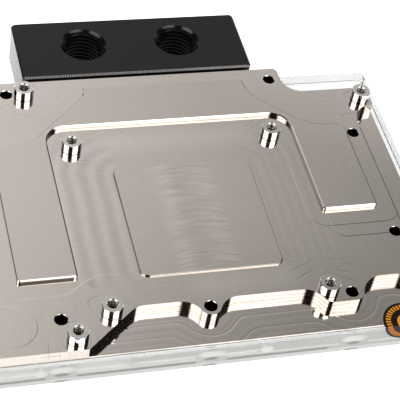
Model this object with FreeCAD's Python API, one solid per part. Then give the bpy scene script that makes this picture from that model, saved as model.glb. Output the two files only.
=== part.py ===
import FreeCAD, Part
import math
import os

from FreeCAD import Vector

# A liquid cooling cold plate for a graphics card, lying with its cold side up.
# Origin: on the clear cover's outer face, under the middle of the chip pad.
# X runs along the card, Y towards the port block, Z out of the cold side. Millimetres.

# Heights of the stack
cover_thickness = 8.0
deck_thickness = 4.0
shelf_thickness = 0.9
pad_height = 1.2
island_height = 0.5
standoff_height = 3.0
terminal_height = 12.9

# Edges of the metal plate
plate_left = -98.0
plate_right = 64.5
plate_front = -40.3
plate_back = 56.8
plate_corner = 1.5
notch_past_screw = 3.55
notch_depth = 10.5
cutter_radius = 6.0

# How far the clear cover stands out past the plate
cover_margin_left = 1.0
cover_margin_right = 3.9
cover_margin_front = 0.7
cover_margin_back = 0.8
cover_corner = 2.0
cover_chamfer = 0.4

# The deep shelf along the front and the right side, for the tall coils of the card
shelf_wall_setback = 12.0
shelf_wall_right_setback = 14.2
lobe_setback = 6.8
lobe_past_screw_left = 5.5
lobe_past_screw_right = 0.5
wide_cutter_radius = 7.0
ramp_start = -36.9
ramp_end = -22.4
side_lobe_width = 3.5
side_lobe_length = 9.4
side_lobe_slope = 5.0
side_lobe_corner = 1.5
side_corner = 3.0
side_shelf_width = 7.0
side_shelf_stop = 17.8

# The chip pad in the middle
island_size = 39.4
island_corner = 2.5
island_x = 0.2
island_y = 0.3

# The raised pad for the memory chips, an arch with two legs
arch_inner_left = -35.8
arch_inner_right = 36.1
arch_inner_back = 36.7
arch_back = 52.0
left_leg_width = 15.8
left_leg_end = -17.8
right_leg_width = 16.0
right_leg_end = -1.9
leg_corner = 0.8
pad_chamfer = 0.28

# Corners of the arch's stepped ends: distance in from its side, distance down from its back edge, radius
arch_right_steps = [
    (0.0, 21.4, 1.6),
    (9.0, 20.5, 5.0),
    (13.4, 17.9, 6.0),
    (22.8, 8.6, 5.0),
    (25.2, 4.6, 3.0),
    (25.7, 0.0, 1.0),
]
arch_left_steps = [
    (29.9, 0.0, 1.0),
    (29.2, 3.4, 4.0),
    (12.6, 19.5, 7.0),
    (0.0, 22.0, 3.0),
]

# The raised strip for the power stages, near the left end
strip_setback = 18.0
strip_width = 14.0
strip_front = -18.0
strip_back = 30.0
strip_corner = 1.5

# Standoffs, pressed into the plate
chip_pitch = 58.4
standoff_radius = 2.85
standoff_bore_radius = 1.25
standoff_bore_bevel = 0.35
standoff_edge = 0.15
standoff_gap = 0.1
back_standoff_x = -39.0
back_standoff_setback = 5.2
front_standoff_x = -39.3
front_standoff_setback = 3.9
left_standoff_setback = 13.5
right_standoff_setback = 3.4
spigot_radius = 2.1
spigot_length = 2.4
bore_past_spigot = 0.5
press_clearance = 0.01

# Cover screws, size M4, driven from the outer face into the plate
cover_screw_radius = 2.0
cover_screw_clearance = 0.2
cover_screw_head_radius = 3.5
cover_screw_head_height = 2.2
cover_screw_head_recess = 0.6
cover_screw_tip_setback = 2.6
head_clearance = 0.3
hex_across_flats = 2.5
hex_depth = 1.3
hex_depth_share = 0.6
head_chamfer = 0.25
thread_chamfer = 0.3
thread_clearance = 0.03
open_hole_radius = 1.65
open_hole_bevel = 0.18

# How far the cover screws stand from the plate's edges, and their own places along an edge
front_screw_setback = 9.6
back_screw_setback = 4.7
left_screw_setback = 5.5
right_screw_setback = 10.0
corner_screw_setback = 6.65
ramp_screw_setback = 10.0
screw_left_of_terminal = 5.65
screw_right_of_terminal = 4.0
ramp_screw_x = -42.35
middle_screw_x = -3.4
lobe_screw_x = 35.5
side_screw_back_y = 27.5
side_screw_front_y = -11.3
end_screw_y = 9.5

# Blind stepped holes in the cover's outer face, by its front edge
pin_hole_radius = 0.85
pin_hole_depth = 6.4
pin_sink_radius = 1.35
pin_sink_depth = 1.9
pin_hole_setback = 6.6
pin_hole_left_x = -48.0
pin_hole_right_x = 11.1

# Port block
terminal_left = -38.35
terminal_length = 69.65
terminal_depth = 24.3
terminal_edge = 0.45
terminal_corner = 1.5
port_inset = 20.35
port_spacing = 28.8
port_setback = 13.3
port_radius = 5.72
port_mouth_radius = 6.95

# Water way between the port block and the cover
passage_width = 11.0
passage_height = 3.6
seal_section = 1.2
seal_land = 0.4
seal_groove_slack = 0.2

# Port block screws, size M3
terminal_screw_radius = 1.5
terminal_screw_clearance = 0.2
terminal_screw_head_radius = 2.75
terminal_screw_head_height = 3.0
terminal_screw_head_recess = 0.4
terminal_screw_grip = 8.0
terminal_screw_inset = 4.8
terminal_hex_across_flats = 2.5

# Seal cord between the plate and the cover
gasket_section = 1.5
gasket_groove_slack = 0.25
gasket_left = -86.0
gasket_right = 25.0
gasket_front = -23.6
gasket_back = 46.6
gasket_corner = 6.0
gasket_land = 2.6

# Water chambers milled into the cover
chamber_corner = 1.8
duct_width = 6.4
jet_chamber_width = 7.0
jet_chamber_length = 32.0
collector_width = 5.2
side_duct_width = 6.5
sweep_width = 11.0
return_width = 7.6
left_chamber_width = 21.0
chamber_wall = 3.0

# Fins on the wet side of the plate and the jet plate over them
fin_pitch = 1.2
fin_gap = 0.6
fin_count = 28
fin_depth = 2.4
fin_length = 35.0
jet_plate_thickness = 0.6
jet_plate_length = 38.0
jet_plate_width = 25.0
jet_plate_corner = 1.5
jet_plate_clearance = 0.15
tongue_overlap = 1.5
tongue_length = 5.3
tongue_corner = 0.5
jet_slot_length = 31.0
jet_slot_width = 1.4

# Round paper label folded over the front edge
label_radius = 6.4
label_rise = 0.9
label_thickness = 0.12
label_from_right = 15.95

# Places worked out from the sizes above
underside = cover_thickness
deck = underside + deck_thickness
shelf = underside + shelf_thickness
cover_left = plate_left - cover_margin_left
cover_right = plate_right + cover_margin_right
cover_front = plate_front - cover_margin_front
cover_back = plate_back + cover_margin_back
shelf_wall = plate_front + shelf_wall_setback
shelf_wall_right = plate_front + shelf_wall_right_setback
lobe_front = plate_front + lobe_setback
side_shelf_left = plate_right - side_shelf_width
side_shelf_back = plate_back - side_shelf_stop
side_lobe_left = plate_right - side_lobe_width
side_lobe_back = lobe_front + side_lobe_length
terminal_right = terminal_left + terminal_length
outlet_x = terminal_left + port_inset
inlet_x = outlet_x + port_spacing
port_middle = (outlet_x + inlet_x) / 2
port_y = cover_back + port_setback
front_screw_y = plate_front + front_screw_setback
back_screw_y = plate_back - back_screw_setback
right_screw_x = plate_right - right_screw_setback
left_screw_x = plate_left + left_screw_setback
corner_screw_x = plate_right - corner_screw_setback
back_screw_right_x = terminal_right + screw_right_of_terminal
notch_left = back_screw_right_x + notch_past_screw
front_standoff_y = plate_front + front_standoff_setback
back_standoff_y = plate_back - back_standoff_setback
left_standoff_x = plate_left + left_standoff_setback
side_standoff_y = side_shelf_back + standoff_radius + standoff_gap
pin_hole_y = plate_front + pin_hole_setback
passage_z = cover_thickness / 2
chamber_floor = passage_z - passage_height / 2
half_pitch = chip_pitch / 2

# How far cutting shapes reach past what they cut, and the most that a corner takes of a short side
overrun = 2.0
corner_share = 0.45

cover_screw_places = [
    (terminal_left - screw_left_of_terminal, back_screw_y),
    (back_screw_right_x, back_screw_y),
    (right_screw_x, side_screw_back_y),
    (right_screw_x, side_screw_front_y),
    (ramp_screw_x, plate_front + ramp_screw_setback),
    (middle_screw_x, front_screw_y),
    (lobe_screw_x, front_screw_y),
    (corner_screw_x, front_screw_y),
    (left_screw_x, back_screw_y),
    (left_screw_x, end_screw_y),
    (left_screw_x, front_screw_y),
]

standoff_places = [
    (back_standoff_x, back_standoff_y),
    (-half_pitch, half_pitch),
    (half_pitch, half_pitch),
    (plate_right - right_standoff_setback, side_standoff_y),
    (-half_pitch, -half_pitch),
    (front_standoff_x, front_standoff_y),
    (half_pitch, -half_pitch),
    (left_standoff_x, back_standoff_y),
    (left_standoff_x, front_standoff_y),
]


# Wires and simple solids

def rounded_wire(corners):
    """Closed wire through corners (x, y, radius), each one rounded by an arc of its radius."""
    count = len(corners)
    starts = []
    ends = []
    middles = []
    for i in range(count):
        x, y, radius = corners[i]
        here = Vector(x, y, 0)
        back = Vector(corners[i - 1][0], corners[i - 1][1], 0) - here
        ahead = Vector(corners[(i + 1) % count][0], corners[(i + 1) % count][1], 0) - here
        back.normalize()
        ahead.normalize()
        half = back.getAngle(ahead) / 2
        reach = radius / math.tan(half)
        starts.append(here + back * reach)
        ends.append(here + ahead * reach)
        bisector = back + ahead
        bisector.normalize()
        middles.append(here + bisector * (radius / math.sin(half) - radius))
    edges = []
    for i in range(count):
        if corners[i][2] > 0:
            edges.append(Part.Arc(starts[i], middles[i], ends[i]).toShape())
        gap = starts[(i + 1) % count] - ends[i]
        if gap.Length > 1e-6:
            edges.append(Part.LineSegment(ends[i], starts[(i + 1) % count]).toShape())
    return Part.Wire(edges)


def slab(corners, bottom, top):
    """Plate with the rounded outline, from one height to another."""
    face = Part.Face(rounded_wire(corners))
    face.translate(Vector(0, 0, bottom))
    return face.extrude(Vector(0, 0, top - bottom))


def block_corners(left, right, front, back, radius):
    """Corners of a rectangle with one corner radius, which stays under half its smaller side."""
    radius = min(radius, corner_share * min(right - left, back - front))
    return [(left, front, radius), (right, front, radius), (right, back, radius), (left, back, radius)]


def block(left, right, front, back, radius, bottom, top):
    """Upright block with rounded vertical edges."""
    return slab(block_corners(left, right, front, back, radius), bottom, top)


def upright(radius, x, y, bottom, top):
    """Upright cylinder between two heights."""
    return Part.makeCylinder(radius, top - bottom, Vector(x, y, bottom))


def cone_up(low_radius, high_radius, x, y, bottom, top):
    """Upright cone between two heights."""
    return Part.makeCone(low_radius, high_radius, top - bottom, Vector(x, y, bottom))


def hexagon(across_flats, x, y, bottom, top):
    """Upright hexagonal prism."""
    radius = across_flats / math.sqrt(3)
    points = []
    for i in range(7):
        angle = math.radians(60 * i)
        points.append(Vector(x + radius * math.cos(angle), y + radius * math.sin(angle), bottom))
    return Part.Face(Part.makePolygon(points)).extrude(Vector(0, 0, top - bottom))


def level_edges(solid, height):
    """Edges of the solid that lie flat at one height."""
    found = []
    for edge in solid.Edges:
        box = edge.BoundBox
        if abs(box.ZMin - height) < 1e-6 and abs(box.ZMax - height) < 1e-6:
            found.append(edge)
    return found


def cord_along(path, start, direction, radius):
    """Round cord swept along a closed path, from a circle at its start."""
    circle = Part.Wire(Part.makeCircle(radius, start, direction))
    return path.makePipeShell([circle], True, True)


# Outlines of the metal plate

plate_outline = [
    (plate_left, plate_front, plate_corner),
    (plate_right, plate_front, plate_corner),
    (plate_right, plate_back - notch_depth, plate_corner),
    (notch_left, plate_back - notch_depth, cutter_radius),
    (notch_left, plate_back, plate_corner),
    (plate_left, plate_back, plate_corner),
]


def lobe_side(wall, middle_x, facing, inner_radius):
    """Corners of one side of a screw lobe: an inner arc off the wall, an outer arc round the screw.

    The middle of the inner arc lies in the shelf and that of the outer arc in the lobe, so the
    two middles stand one radius plus the other apart.
    """
    lobe_radius = front_screw_y - lobe_front
    turn = math.acos((front_screw_y - wall + inner_radius) / (lobe_radius + inner_radius))
    reach = (lobe_radius + inner_radius) * math.sin(turn)
    off_wall = middle_x + facing * (reach - inner_radius * math.tan(turn / 2))
    on_lobe = middle_x + facing * lobe_radius * math.tan(turn / 2)
    return [(off_wall, wall, inner_radius), (on_lobe, lobe_front, lobe_radius)]


# The wall's top edge, from the front edge of the plate round three screw lobes to the right side.
# The ramp's line is drawn on past the plate's front edge.
ramp_lean = (ramp_end - ramp_start) / (shelf_wall - plate_front)
ramp_outside = ramp_start - overrun * ramp_lean
lobe_left = lobe_screw_x - lobe_past_screw_left
lobe_right = lobe_screw_x + lobe_past_screw_right
shelf_outline = [
    (ramp_outside, plate_front - overrun, 0),
    (ramp_end, shelf_wall, cutter_radius),
]
shelf_outline += lobe_side(shelf_wall, middle_screw_x, -1, cutter_radius)
shelf_outline += reversed(lobe_side(shelf_wall, middle_screw_x, 1, cutter_radius))
shelf_outline += lobe_side(shelf_wall, lobe_left, -1, cutter_radius)
shelf_outline += reversed(lobe_side(shelf_wall_right, lobe_right, 1, wide_cutter_radius))
shelf_outline += lobe_side(shelf_wall_right, corner_screw_x, -1, cutter_radius)
shelf_outline += [
    (side_lobe_left, lobe_front, side_lobe_corner),
    (side_lobe_left, side_lobe_back, side_corner),
    (side_shelf_left, side_lobe_back + side_lobe_slope, side_corner),
    (side_shelf_left, side_shelf_back, wide_cutter_radius),
    (plate_right + overrun, side_shelf_back, 0),
    (plate_right + overrun, plate_front - 2 * overrun, 0),
    (ramp_outside, plate_front - 2 * overrun, 0),
]

arch_left = arch_inner_left - left_leg_width
arch_right = arch_inner_right + right_leg_width
arch_outline = [
    (arch_left, left_leg_end, leg_corner),
    (arch_inner_left, left_leg_end, leg_corner),
    (arch_inner_left, arch_inner_back, cutter_radius),
    (arch_inner_right, arch_inner_back, cutter_radius),
    (arch_inner_right, right_leg_end, leg_corner),
    (arch_right, right_leg_end, leg_corner),
]
for inset, drop, radius in arch_right_steps:
    arch_outline.append((arch_right - inset, arch_back - drop, radius))
for inset, drop, radius in arch_left_steps:
    arch_outline.append((arch_left + inset, arch_back - drop, radius))


# The metal plate

def raised_pad(corners, height):
    """Flat pad standing on the deck, with a small chamfer round its top."""
    pad = slab(corners, deck, deck + height)
    return pad.makeChamfer(pad_chamfer, level_edges(pad, deck + height))


def fin_slots():
    """Row of narrow slots in the wet side, over the chip."""
    slots = []
    first = island_x - (fin_count - 1) * fin_pitch / 2
    for i in range(fin_count):
        left = first + i * fin_pitch - fin_gap / 2
        corner = Vector(left, island_y - fin_length / 2, underside - overrun)
        slots.append(Part.makeBox(fin_gap, fin_length, fin_depth + overrun, corner))
    return Part.makeCompound(slots)


def plate_screw_hole(x, y):
    """Threaded hole that opens on the deck, wide below where the screw's thread sits."""
    tip = deck - cover_screw_tip_setback + thread_clearance
    wide = upright(cover_screw_radius + thread_clearance, x, y, underside - overrun, tip)
    narrow = upright(open_hole_radius, x, y, underside, deck + overrun)
    bevel = cone_up(open_hole_radius, open_hole_radius + open_hole_bevel, x, y, deck - open_hole_bevel, deck)
    return wide.fuse([narrow, bevel])


def standoff_seat(x, y):
    """Blind hole for a standoff's spigot."""
    radius = spigot_radius + press_clearance
    depth = spigot_length + press_clearance
    return upright(radius, x, y, deck - depth, deck + overrun)


def make_base_plate():
    plate = slab(plate_outline, underside, deck)
    plate = plate.cut(slab(shelf_outline, shelf, deck + overrun))
    strip_left = plate_left + strip_setback
    pads = [
        raised_pad(arch_outline, pad_height),
        raised_pad(block_corners(strip_left, strip_left + strip_width, strip_front, strip_back,
                                 strip_corner), pad_height),
        raised_pad(block_corners(island_x - island_size / 2, island_x + island_size / 2,
                                 island_y - island_size / 2, island_y + island_size / 2,
                                 island_corner), island_height),
    ]
    plate = plate.fuse(pads)
    cuts = [fin_slots()]
    for x, y in cover_screw_places:
        cuts.append(plate_screw_hole(x, y))
    for x, y in standoff_places:
        cuts.append(standoff_seat(x, y))
    return plate.cut(cuts).removeSplitter()


# The clear cover

def gasket_path(inset):
    """Closed path of the seal cord, moved inwards by the inset."""
    corners = block_corners(gasket_left + inset, gasket_right - inset, gasket_front + inset,
                            gasket_back - inset, gasket_corner - inset)
    return rounded_wire(corners)


def gasket_groove():
    """Ring groove for the seal cord, in the face under the plate."""
    half = gasket_section / 2 + gasket_groove_slack
    outer = Part.Face(gasket_path(-half))
    inner = Part.Face(gasket_path(half))
    ring = outer.cut(inner)
    ring.translate(Vector(0, 0, cover_thickness - gasket_section))
    return ring.extrude(Vector(0, 0, gasket_section + overrun))


def passage(x, front, back):
    """Flat round-ended water way along Y, at half the cover's thickness."""
    radius = passage_height / 2
    reach = passage_width / 2 - radius
    length = back - front
    left = Part.makeCylinder(radius, length, Vector(x - reach, front, passage_z), Vector(0, 1, 0))
    right = Part.makeCylinder(radius, length, Vector(x + reach, front, passage_z), Vector(0, 1, 0))
    middle = Part.makeBox(2 * reach, length, passage_height, Vector(x - reach, front, chamber_floor))
    return left.fuse([right, middle]).removeSplitter()


def water_chambers():
    """Milled chambers: in over the chip through the jet plate, round the left end and out."""
    inner_left = gasket_left + gasket_land
    inner_front = gasket_front + gasket_land
    inner_back = gasket_back - gasket_land
    top = cover_thickness + overrun
    duct_left = inlet_x - duct_width / 2
    half_jet_plate = jet_plate_width / 2
    collector_front = island_y - half_jet_plate - collector_width
    collector_back = island_y + half_jet_plate + collector_width
    side_left = island_x - jet_plate_length / 2 - chamber_wall - side_duct_width
    side_right = side_left + side_duct_width
    sweep_back = inner_front + sweep_width
    rooms = [
        (duct_left, duct_left + duct_width, island_y, inner_back),
        (island_x - jet_chamber_length / 2, island_x + jet_chamber_length / 2,
         island_y - jet_chamber_width / 2, island_y + jet_chamber_width / 2),
        (side_left, island_x + jet_plate_length / 2, collector_front, collector_front + collector_width),
        (side_left, duct_left - chamber_wall, collector_back - collector_width, collector_back),
        (side_left, side_right, inner_front, collector_back),
        (inner_left, side_right, inner_front, sweep_back),
        (inner_left, inner_left + left_chamber_width, inner_front, inner_back),
        (inner_left, outlet_x + duct_width / 2, inner_back - return_width, inner_back),
    ]
    chambers = []
    for left, right, front, back in rooms:
        chambers.append(block(left, right, front, back, chamber_corner, chamber_floor, top))
    for x in (outlet_x, inlet_x):
        chambers.append(passage(x, inner_back - duct_width, cover_back + overrun))
    return chambers


def jet_plate_outline(grow):
    """Outline of the jet plate with the tongue that covers the inlet duct, grown by a clearance."""
    left = island_x - jet_plate_length / 2 - grow
    right = island_x + jet_plate_length / 2 + grow
    front = island_y - jet_plate_width / 2 - grow
    back = island_y + jet_plate_width / 2 + grow
    tongue_left = inlet_x - duct_width / 2 - tongue_overlap - grow
    tongue_right = inlet_x + duct_width / 2 + tongue_overlap + grow
    tongue_back = back + tongue_length
    return [
        (left, front, jet_plate_corner),
        (right, front, jet_plate_corner),
        (right, back, jet_plate_corner),
        (tongue_right, back, tongue_corner),
        (tongue_right, tongue_back, jet_plate_corner),
        (tongue_left, tongue_back, jet_plate_corner),
        (tongue_left, back, tongue_corner),
        (left, back, jet_plate_corner),
    ]


def cover_screw_hole(x, y):
    """Clearance hole with a counterbore that hides the head below the outer face."""
    hole = upright(cover_screw_radius + cover_screw_clearance, x, y, -overrun, cover_thickness + overrun)
    sink_depth = cover_screw_head_recess + cover_screw_head_height
    sink = upright(cover_screw_head_radius + head_clearance, x, y, -overrun, sink_depth)
    return hole.fuse(sink)


def terminal_screw_places():
    """X of each port block screw: one near each end and one between the ports."""
    return [terminal_left + terminal_screw_inset, port_middle, terminal_right - terminal_screw_inset]


def pin_hole(x, y):
    """Blind hole from the outer face, wider at its mouth."""
    hole = upright(pin_hole_radius, x, y, -overrun, pin_hole_depth)
    return hole.fuse(upright(pin_sink_radius, x, y, -overrun, pin_sink_depth))


def make_clear_cover():
    corners = block_corners(cover_left, cover_right, cover_front, cover_back, cover_corner)
    cover = slab(corners, 0, cover_thickness)
    cover = cover.makeChamfer(cover_chamfer, level_edges(cover, 0) + level_edges(cover, cover_thickness))
    cuts = water_chambers()
    cuts.append(gasket_groove())
    cuts.append(slab(jet_plate_outline(jet_plate_clearance), cover_thickness - jet_plate_thickness,
                     cover_thickness + overrun))
    for x, y in cover_screw_places:
        cuts.append(cover_screw_hole(x, y))
    for x in (pin_hole_left_x, pin_hole_right_x):
        cuts.append(pin_hole(x, pin_hole_y))
    for x in terminal_screw_places():
        depth = terminal_screw_grip + thread_clearance
        start = Vector(x, cover_back - depth, passage_z)
        radius = terminal_screw_radius + thread_clearance
        cuts.append(Part.makeCylinder(radius, depth + overrun, start, Vector(0, 1, 0)))
    return cover.cut(cuts).removeSplitter()


def make_main_gasket():
    path = gasket_path(0)
    path.translate(Vector(0, 0, cover_thickness - gasket_section / 2))
    middle = (gasket_left + gasket_right) / 2
    start = Vector(middle, gasket_front, cover_thickness - gasket_section / 2)
    return cord_along(path, start, Vector(1, 0, 0), gasket_section / 2)


def make_jet_plate():
    plate = slab(jet_plate_outline(0), cover_thickness - jet_plate_thickness, cover_thickness)
    slot = block(island_x - jet_slot_length / 2, island_x + jet_slot_length / 2,
                 island_y - jet_slot_width / 2, island_y + jet_slot_width / 2,
                 jet_slot_width / 2, 0, cover_thickness + overrun)
    return plate.cut(slot)


# The port block and its fasteners

def seal_path(x, grow):
    """Closed oval path round a passage, in the joint face of the port block."""
    ring_inset = seal_land + seal_section / 2 + grow
    height = passage_height + 2 * ring_inset
    width = passage_width + 2 * ring_inset
    radius = height / 2
    reach = width / 2 - radius
    low = passage_z - radius
    high = passage_z + radius
    left = x - reach
    right = x + reach
    y = cover_back
    edges = [
        Part.LineSegment(Vector(left, y, low), Vector(right, y, low)).toShape(),
        Part.Arc(Vector(right, y, low), Vector(right + radius, y, passage_z),
                 Vector(right, y, high)).toShape(),
        Part.LineSegment(Vector(right, y, high), Vector(left, y, high)).toShape(),
        Part.Arc(Vector(left, y, high), Vector(left - radius, y, passage_z),
                 Vector(left, y, low)).toShape(),
    ]
    return Part.Wire(edges)


def seal_groove(x):
    """Oval groove for one seal."""
    half = seal_section / 2 + seal_groove_slack
    outer = Part.Face(seal_path(x, half))
    inner = Part.Face(seal_path(x, -half))
    ring = outer.cut(inner)
    return ring.extrude(Vector(0, seal_section, 0))


def make_seal(x):
    path = seal_path(x, 0)
    path.translate(Vector(0, seal_section / 2, 0))
    start = path.Vertexes[0].Point
    return cord_along(path, start, Vector(1, 0, 0), seal_section / 2)


def port_bore(x):
    """Threaded port right through the block, with a bevelled mouth on both faces."""
    bevel = port_mouth_radius - port_radius
    bore = upright(port_radius, x, port_y, -overrun, terminal_height + overrun)
    low = cone_up(port_mouth_radius, port_radius, x, port_y, 0, bevel)
    high = cone_up(port_radius, port_mouth_radius, x, port_y, terminal_height - bevel, terminal_height)
    return bore.fuse([low, high])


def make_terminal_block():
    back = cover_back + terminal_depth
    body = block(terminal_left, terminal_right, cover_back, back, terminal_corner, 0, terminal_height)
    body = body.makeChamfer(terminal_edge, level_edges(body, 0) + level_edges(body, terminal_height))
    cuts = []
    for x in (outlet_x, inlet_x):
        cuts.append(port_bore(x))
        cuts.append(passage(x, cover_back - overrun, port_y))
        cuts.append(seal_groove(x))
    sink_depth = terminal_screw_head_height + terminal_screw_head_recess
    for x in terminal_screw_places():
        start = Vector(x, cover_back - overrun, passage_z)
        length = terminal_depth + 2 * overrun
        radius = terminal_screw_radius + terminal_screw_clearance
        cuts.append(Part.makeCylinder(radius, length, start, Vector(0, 1, 0)))
        start = Vector(x, back - sink_depth, passage_z)
        radius = terminal_screw_head_radius + head_clearance
        cuts.append(Part.makeCylinder(radius, sink_depth + overrun, start, Vector(0, 1, 0)))
    return body.cut(cuts).removeSplitter()


def cap_screw(radius, length, head_radius, head_height, across_flats):
    """Socket screw standing on its head at the origin, thread up, hexagon in the head."""
    head = upright(head_radius, 0, 0, 0, head_height)
    head = head.makeChamfer(head_chamfer, level_edges(head, 0))
    shank = upright(radius, 0, 0, 0, head_height + length)
    shank = shank.makeChamfer(thread_chamfer, level_edges(shank, head_height + length))
    depth = min(hex_depth, hex_depth_share * head_height)
    return head.fuse(shank).cut(hexagon(across_flats, 0, 0, -overrun, depth)).removeSplitter()


def make_cover_screw(x, y):
    seat = cover_screw_head_recess + cover_screw_head_height
    length = deck - cover_screw_tip_setback - seat
    screw = cap_screw(cover_screw_radius, length, cover_screw_head_radius, cover_screw_head_height,
                      hex_across_flats)
    screw.translate(Vector(x, y, cover_screw_head_recess))
    return screw


def make_terminal_screw(x):
    head_seat = terminal_screw_head_recess + terminal_screw_head_height
    length = terminal_depth - head_seat + terminal_screw_grip
    screw = cap_screw(terminal_screw_radius, length, terminal_screw_head_radius,
                      terminal_screw_head_height, terminal_hex_across_flats)
    screw.rotate(Vector(0, 0, 0), Vector(1, 0, 0), 90)
    screw.translate(Vector(x, cover_back + terminal_depth - terminal_screw_head_recess, passage_z))
    return screw


# Standoffs and label

def make_standoff(x, y):
    """Round post with a threaded bore, and a spigot that is pressed into the plate."""
    top = deck + standoff_height
    post = upright(standoff_radius, x, y, deck, top)
    post = post.makeChamfer(standoff_edge, level_edges(post, deck) + level_edges(post, top))
    spigot = upright(spigot_radius, x, y, deck - spigot_length, deck)
    bore_end = deck - spigot_length + bore_past_spigot
    bore = upright(standoff_bore_radius, x, y, bore_end, top + overrun)
    bevel = cone_up(standoff_bore_radius, standoff_bore_radius + standoff_bore_bevel, x, y,
                    top - standoff_bore_bevel, top)
    return post.fuse(spigot).cut([bore, bevel]).removeSplitter()


def make_label():
    """Disc folded over the front edge: one flap on the shelf, the other down the cover's front."""
    x = plate_right - label_from_right
    fold_y = cover_front - label_thickness
    fold_z = shelf + label_thickness
    top_disc = upright(label_radius, x, fold_y + label_rise, shelf, fold_z)
    top_side = Part.makeBox(4 * label_radius, 4 * label_radius, 4 * label_radius,
                            Vector(x - 2 * label_radius, fold_y, 0))
    front_disc = Part.makeCylinder(label_radius, label_thickness, Vector(x, fold_y, fold_z + label_rise),
                                   Vector(0, 1, 0))
    low_corner = Vector(x - 2 * label_radius, fold_y - 2 * label_radius, fold_z - 4 * label_radius)
    low_side = Part.makeBox(4 * label_radius, 4 * label_radius, 4 * label_radius, low_corner)
    return top_disc.common(top_side).fuse(front_disc.common(low_side)).removeSplitter()


# Build and save every piece

def build():
    """All pieces by name."""
    pieces = {
        "base_plate": make_base_plate(),
        "clear_cover": make_clear_cover(),
        "main_gasket": make_main_gasket(),
        "jet_plate": make_jet_plate(),
        "terminal_block": make_terminal_block(),
        "outlet_seal": make_seal(outlet_x),
        "inlet_seal": make_seal(inlet_x),
        "round_label": make_label(),
    }
    for number, x in enumerate(terminal_screw_places(), 1):
        pieces[f"terminal_screw_{number}"] = make_terminal_screw(x)
    for number, (x, y) in enumerate(cover_screw_places, 1):
        pieces[f"cover_screw_{number:02d}"] = make_cover_screw(x, y)
    for number, (x, y) in enumerate(standoff_places, 1):
        pieces[f"standoff_{number}"] = make_standoff(x, y)
    return pieces


os.makedirs("parts", exist_ok=True)
for name, shape in build().items():
    solid = shape.Solids[0] if len(shape.Solids) == 1 else shape
    solid.exportStep(f"parts/{name}.step")
    print(name, "solids", len(shape.Solids), "valid", shape.isValid(), "volume", round(shape.Volume, 2))
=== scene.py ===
# %% [markdown]
# # A liquid cooling cold plate, dressed in Blender
# The solids of this water block are made elsewhere, at their real size, and this lesson
# loads them as a fixed frame. Nothing here moves or resizes them. What is left for Blender
# is the finish of each surface, the studio and the small forms that are too fine for the
# solids: the threads of the ports and the paper label folded over the front edge.

# %% Load the frame
import math
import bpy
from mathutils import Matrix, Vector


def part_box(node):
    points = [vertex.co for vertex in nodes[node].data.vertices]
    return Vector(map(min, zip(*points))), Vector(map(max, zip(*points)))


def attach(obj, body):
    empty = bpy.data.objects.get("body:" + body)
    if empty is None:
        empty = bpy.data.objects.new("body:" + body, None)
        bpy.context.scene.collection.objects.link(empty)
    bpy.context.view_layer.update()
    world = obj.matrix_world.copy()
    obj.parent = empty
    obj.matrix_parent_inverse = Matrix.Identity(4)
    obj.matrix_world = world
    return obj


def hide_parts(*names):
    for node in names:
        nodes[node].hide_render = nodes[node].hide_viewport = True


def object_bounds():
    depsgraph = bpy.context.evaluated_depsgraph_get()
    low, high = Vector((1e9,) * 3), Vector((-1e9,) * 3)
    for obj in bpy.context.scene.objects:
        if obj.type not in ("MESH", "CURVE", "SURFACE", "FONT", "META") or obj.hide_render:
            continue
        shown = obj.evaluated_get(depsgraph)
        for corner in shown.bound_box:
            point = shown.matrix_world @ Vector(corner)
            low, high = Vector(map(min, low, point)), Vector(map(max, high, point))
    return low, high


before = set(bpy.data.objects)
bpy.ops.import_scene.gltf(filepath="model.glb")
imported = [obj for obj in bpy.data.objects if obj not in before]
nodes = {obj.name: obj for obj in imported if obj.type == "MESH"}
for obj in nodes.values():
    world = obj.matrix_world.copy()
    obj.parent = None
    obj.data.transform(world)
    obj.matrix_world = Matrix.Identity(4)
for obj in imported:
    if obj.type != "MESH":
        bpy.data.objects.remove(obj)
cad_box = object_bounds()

from types import SimpleNamespace

import bpy
import bmesh
import numpy as np
from mathutils import Matrix, Vector

scene = bpy.context.scene
MM = 0.001
box_mm = [round(length / MM, 1) for length in cad_box[1] - cad_box[0]]


def placed(name, data):
    """A new object with these data, linked to the scene."""
    made = bpy.data.objects.new(name, data)
    scene.collection.objects.link(made)
    return made


print("solids in the frame:", len(nodes), "box in mm:", box_mm)

# %% [markdown]
# ## The camera
# The block lies with its cold side up, and the picture looks down on it at about 46
# degrees from the front, a little from the left. The camera's place and turn were solved
# from the square of the four inner standoffs and from the long edges. It could be aimed
# with a Track To constraint, but a matrix of three directions says the same thing in one
# line and needs no extra object.

# %% Camera
CAMERA_PLACE_MM = Vector((-101.41, -248.54, 297.64))
CAMERA_RIGHT = Vector((0.96187, -0.23383, 0.14182))
CAMERA_AHEAD = Vector((0.26227, 0.64191, -0.72053))
SENSOR_MM = 36.0
LENS_MM = 130.0


def make_camera():
    """Camera whose X, Y and -Z axes are its right, up and ahead directions."""
    up = CAMERA_RIGHT.cross(CAMERA_AHEAD).normalized()
    right = CAMERA_AHEAD.cross(up).normalized()
    turn = Matrix((right, up, -CAMERA_AHEAD.normalized())).transposed().to_4x4()
    data = bpy.data.cameras.new("camera")
    data.sensor_width = SENSOR_MM
    data.lens = LENS_MM
    data.clip_start = 0.01
    camera = placed("camera", data)
    camera.matrix_world = Matrix.Translation(CAMERA_PLACE_MM * MM) @ turn
    return camera


scene.camera = make_camera()
scene.view_settings.view_transform = "Standard"
print("camera", round((CAMERA_PLACE_MM * MM).length, 3), "m from the origin")

# %% [markdown]
# ## A short way to write node recipes
# Each finish is a sum of small patterns, so it reads best as arithmetic. The class below
# adds one node per call and hands back its output, so that a pattern is written from the
# inside out, the way a formula is. Lengths in the recipes are millimetres, because the
# Object coordinates are scaled by a thousand first.

# %% Recipe helper


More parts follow.
